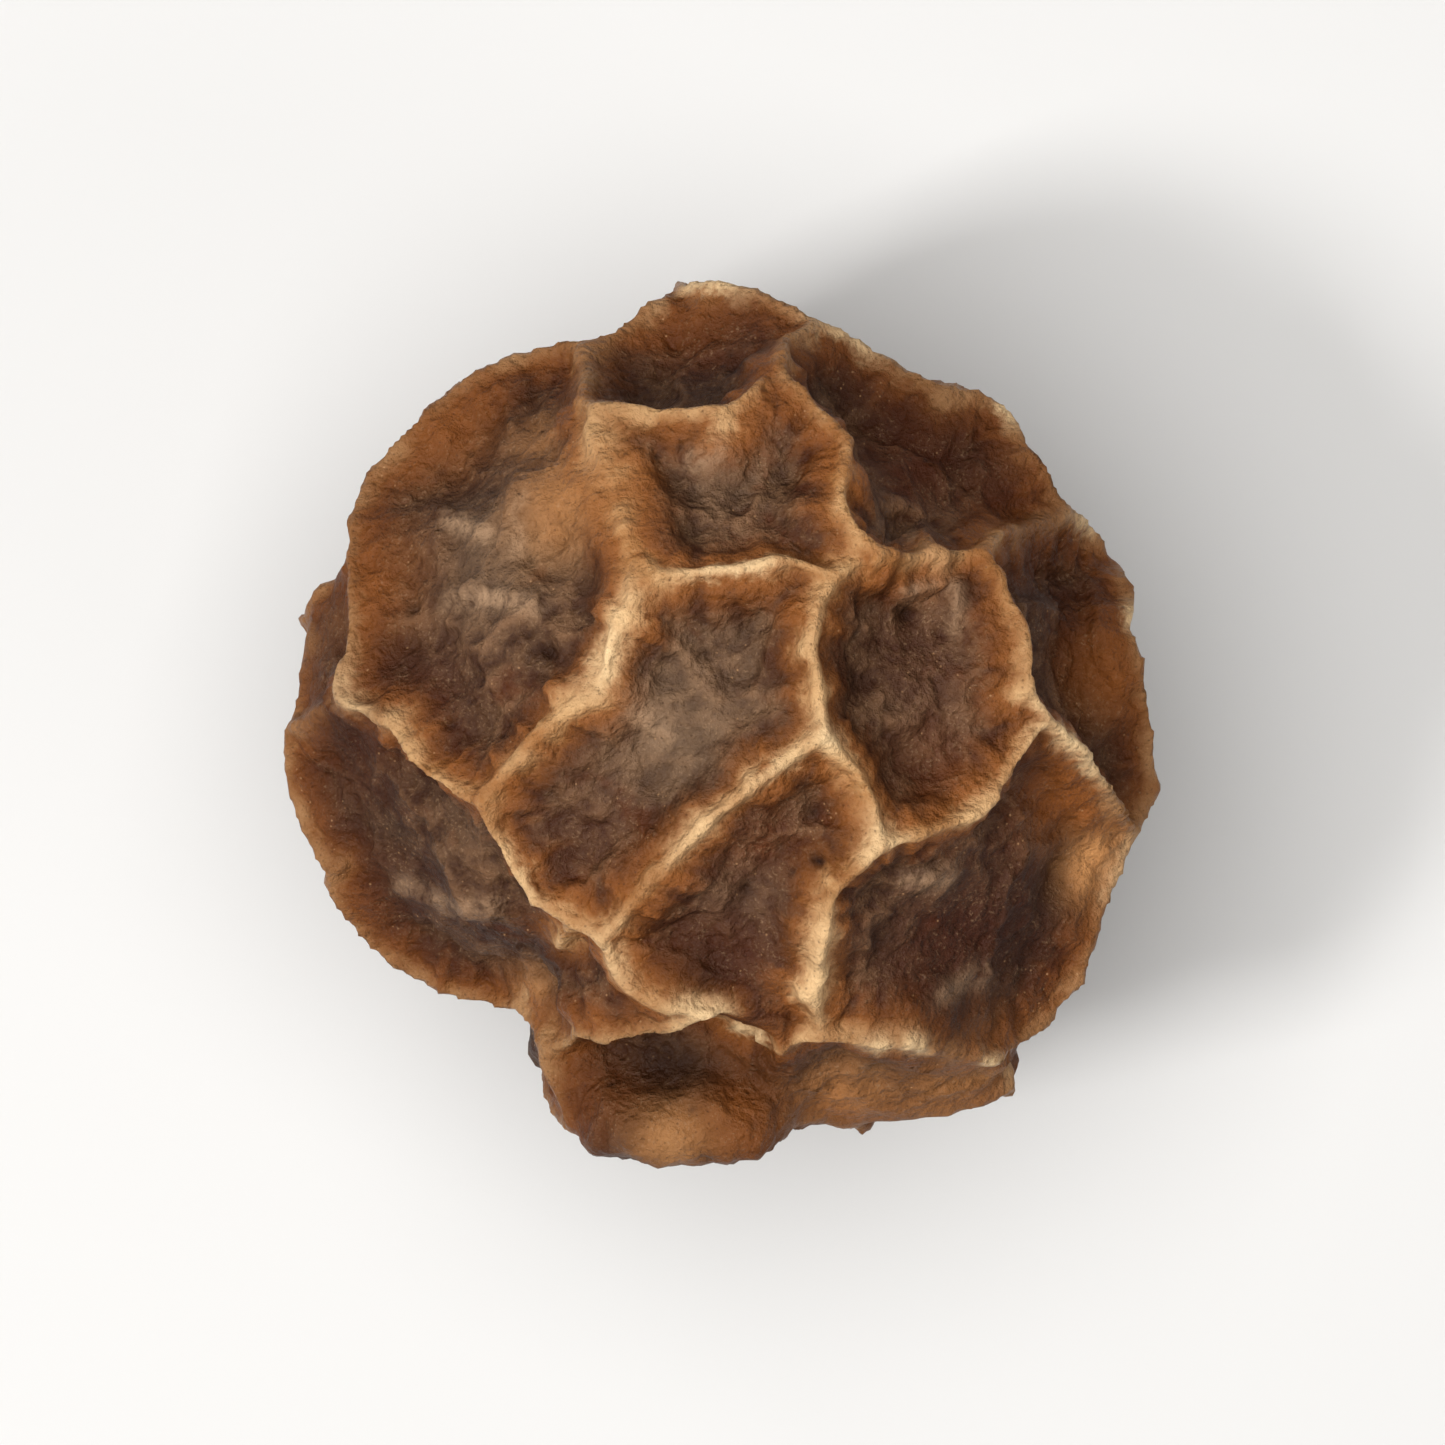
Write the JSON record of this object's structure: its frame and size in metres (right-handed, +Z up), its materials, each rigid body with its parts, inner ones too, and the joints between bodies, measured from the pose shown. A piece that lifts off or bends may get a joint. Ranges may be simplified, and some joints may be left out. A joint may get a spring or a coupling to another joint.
{
  "type": "black peppercorn",
  "caption": "Dried round berry with wrinkled skin standing in a net of ridges, a puckered stalk scar at one side, and a small flat spot to rest on.",
  "frame": {"origin": "on the surface that the berry rests on, under the middle of its outline seen from above", "axes": "+Z up, away from the rest spot; the stalk scar's lip is at -Y; +X is the right side seen from above with the stalk scar nearest"},
  "size_m": [0.0054, 0.0054, 0.0047],
  "materials": {
    "peppercorn_skin": "dull dried plant skin: dark purple-brown hollows, amber flanks and pale tan ridge crests, with a faint sheen"
  },
  "bodies": {
    "root": {"peppercorn": "peppercorn_skin"}
  },
  "joints": []
}
